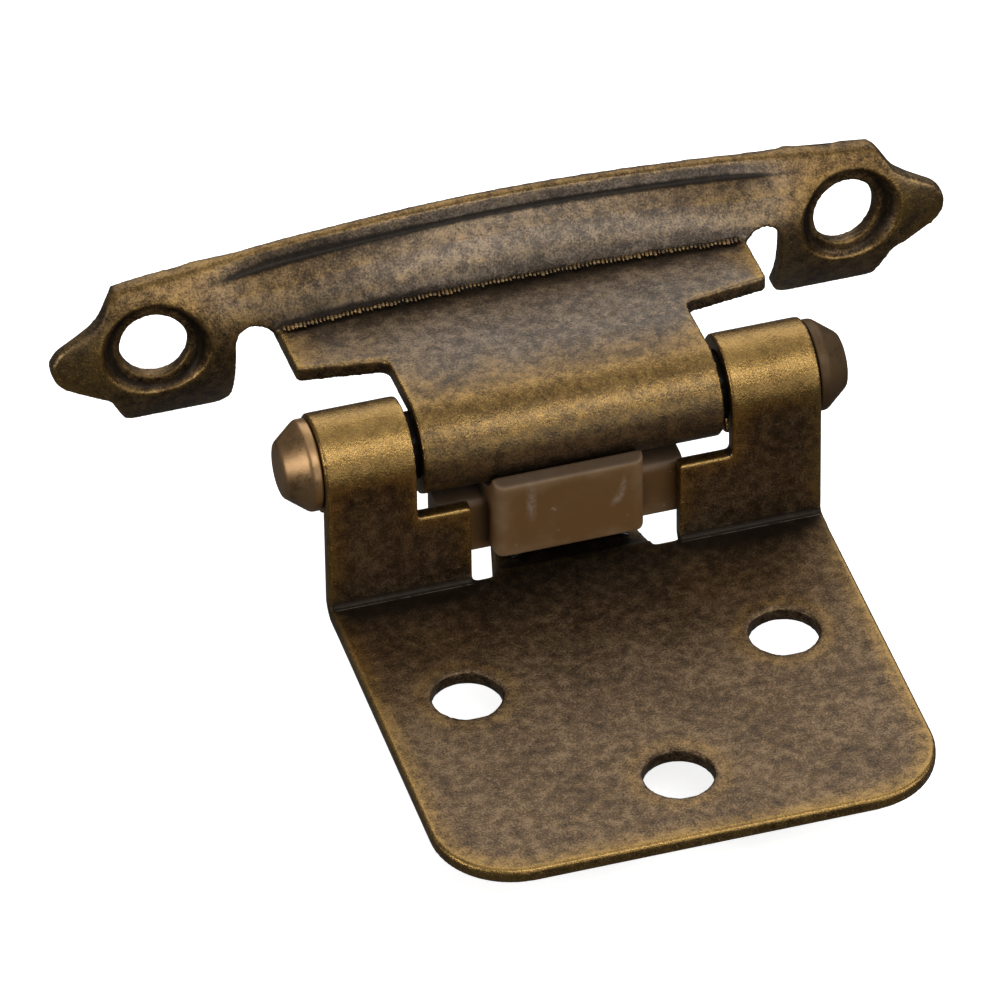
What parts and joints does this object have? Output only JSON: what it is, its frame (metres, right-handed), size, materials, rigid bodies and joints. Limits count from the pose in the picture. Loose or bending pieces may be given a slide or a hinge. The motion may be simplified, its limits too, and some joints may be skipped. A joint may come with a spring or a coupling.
{
  "type": "flush cabinet hinge",
  "caption": "Flush self-closing cabinet hinge: an arched frame wing turns on a headed pin over a bent door leaf, with a sprung cam shoe under the barrel.",
  "frame": {"origin": "middle of the inside bend line of the door leaf, on the face the door sits on", "axes": "+X along the hinge pin, +Y away from the door edge, +Z out of the door leaf towards the pin"},
  "size_m": [0.07, 0.0545, 0.0205],
  "materials": {
    "antique_brass": "rubbed antique brass, dark brown in the hollows and gold on worn edges",
    "pin_bronze": "satin coppery brown",
    "brown_nylon": "semi-gloss moulded nylon",
    "spring_steel": "dark blued spring strip"
  },
  "bodies": {
    "leaf": {"door_leaf": "antique_brass", "hinge_pin": "pin_bronze", "closer_spring": "spring_steel"},
    "wing": {"frame_wing": "antique_brass"},
    "shoe": {"closer_shoe": "brown_nylon"}
  },
  "joints": [
    {"name": "wing_turn", "type": "hinge", "parent": "leaf", "child": "wing", "pos_m": [0, 0.0038, 0.011], "axis": [1, 0, 0], "range_deg": [-85.8, 24]},
    {"name": "shoe_slide", "type": "slide", "parent": "leaf", "child": "shoe", "axis": [0, 0, 1], "range_m": [-0.0006, 0], "stiffness_N_per_m": 3000, "springref_m": 0.001, "deforming": ["closer_spring"]}
  ]
}
